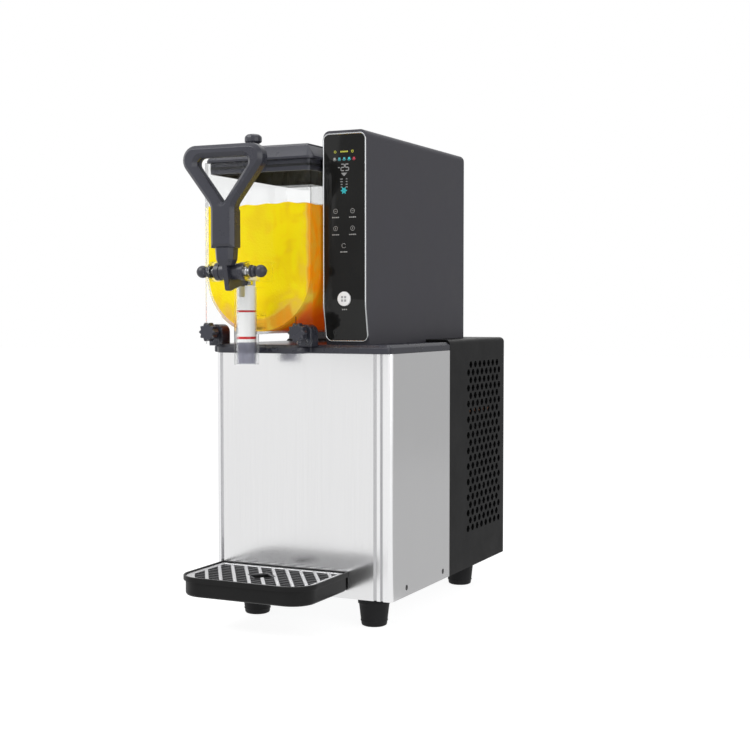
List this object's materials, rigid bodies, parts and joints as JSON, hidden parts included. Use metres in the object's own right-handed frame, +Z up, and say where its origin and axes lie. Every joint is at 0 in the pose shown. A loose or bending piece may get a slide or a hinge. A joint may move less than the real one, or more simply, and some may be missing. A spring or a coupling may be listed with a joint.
{
  "type": "slush machine",
  "caption": "Countertop slush machine with a clear tank, a lift tap worked by a pull-down lever, a touch-glass control column, a drip tray and a vented rear cover.",
  "frame": {"origin": "middle of the machine's outline, on the counter under the feet", "axes": "+Z up, +Y from the tap to the back, +X to the right as seen from the front"},
  "size_m": [0.23, 0.4822, 0.567],
  "materials": {
    "steel_front": "fine vertical satin grain",
    "steel_side": "satin",
    "steel_inner": "plain sheet",
    "chrome": "bright",
    "trim_metal": "satin, bright edge",
    "charcoal_plastic": "fine moulded grain, dark slate",
    "cover_plastic": "black, fine moulded grain",
    "tray_plastic": "black, fine moulded grain",
    "black_plastic": "black",
    "rubber_black": "matt",
    "silicone_red": "smooth",
    "clear_plastic": "clear, polished",
    "white_plastic": "food grade, smooth",
    "black_glass": "polished black glass",
    "compressor_black": "satin black paint",
    "copper": "drawn copper",
    "bronze": "sintered bronze",
    "circuit_green": "solder mask",
    "motor_metal": "cast, grey",
    "rocker_red": "smooth"
  },
  "bodies": {
    "root": {"base_pan": "steel_inner", "front_frame": "steel_side", "front_panel": "steel_front", "side_panel_left": "steel_side", "side_panel_right": "steel_side", "case_screws": "compressor_black", "rear_cover": "cover_plastic", "chassis_posts": "steel_inner", "top_deck": "charcoal_plastic", "feet": "rubber_black", "foot_studs": "chrome", "compressor": "compressor_black", "compressor_mounts": "rubber_black", "condenser": "trim_metal", "fan_shroud": "black_plastic", "fan_motor": "motor_metal", "filter_drier": "copper", "refrigerant_pipes": "copper", "power_board": "circuit_green", "power_inlet": "black_plastic", "switch_body": "black_plastic", "drive_housing": "charcoal_plastic", "drive_bracket": "steel_inner", "gear_motor": "motor_metal", "evaporator_drum": "steel_inner", "shaft_bushes": "bronze", "shaft_seal": "silicone_red", "tank": "clear_plastic", "tank_gasket": "rubber_black", "pivot_pin": "chrome", "pivot_caps": "charcoal_plastic", "column_shell": "charcoal_plastic", "column_trim": "trim_metal", "touch_glass": "black_glass", "display_module": "black_glass", "control_board": "circuit_green", "button_spring": "chrome"},
    "lever": {"tap_lever": "charcoal_plastic", "lever_pin": "chrome"},
    "piston": {"tap_piston": "white_plastic", "piston_rings": "silicone_red"},
    "auger": {"drive_shaft": "chrome", "auger_hub": "white_plastic", "auger_screw": "white_plastic"},
    "fan": {"fan_blade": "trim_metal"},
    "lid": {"lid": "charcoal_plastic", "lid_gasket": "rubber_black", "lid_knob": "charcoal_plastic"},
    "clamp_left": {"clamp_knob_left": "charcoal_plastic"},
    "clamp_right": {"clamp_knob_right": "charcoal_plastic"},
    "start_button": {"start_button": "trim_metal"},
    "power_switch": {"switch_rocker": "rocker_red"},
    "tray": {"drip_tray": "tray_plastic"},
    "grille": {"drip_grille": "trim_metal"}
  },
  "joints": [
    {"name": "lever_pull", "type": "hinge", "parent": "root", "child": "lever", "pos_m": [-0.043, -0.2171, 0.407], "axis": [1, 0, 0], "range_deg": [0, 45]},
    {"name": "piston_lift", "type": "slide", "parent": "root", "child": "piston", "axis": [0, 0, 1], "range_m": [0, 0.025]},
    {"name": "auger_turn", "type": "hinge", "parent": "root", "child": "auger", "pos_m": [-0.043, -0.0751, 0.407], "axis": [0, 1, 0], "continuous": true},
    {"name": "fan_turn", "type": "hinge", "parent": "root", "child": "fan", "pos_m": [0, 0.1599, 0.153], "axis": [0, 1, 0], "continuous": true},
    {"name": "lid_lift", "type": "slide", "parent": "root", "child": "lid", "axis": [0, 0, 1], "range_m": [0, 0.12]},
    {"name": "tray_pull", "type": "slide", "parent": "root", "child": "tray", "axis": [0, -1, 0], "range_m": [0, 0.12]},
    {"name": "grille_lift", "type": "slide", "parent": "tray", "child": "grille", "axis": [0, 0, 1], "range_m": [0, 0.06]},
    {"name": "clamp_left_turn", "type": "hinge", "parent": "root", "child": "clamp_left", "pos_m": [-0.1015, -0.1701, 0.339], "axis": [0, 1, 0], "continuous": true},
    {"name": "clamp_right_turn", "type": "hinge", "parent": "root", "child": "clamp_right", "pos_m": [0.0155, -0.1701, 0.339], "axis": [0, 1, 0], "continuous": true},
    {"name": "start_press", "type": "slide", "parent": "root", "child": "start_button", "axis": [0, 1, 0], "range_m": [0, 0.0012], "stiffness_N_per_m": 600, "deforming": ["button_spring"]},
    {"name": "switch_tilt", "type": "hinge", "parent": "root", "child": "power_switch", "pos_m": [0.024, 0.2349, 0.285], "axis": [1, 0, 0], "range_deg": [0, 10]}
  ],
  "couplings": [
    {"joint": "piston_lift", "follows": "lever_pull", "m_per_rad": 0.0312}
  ]
}
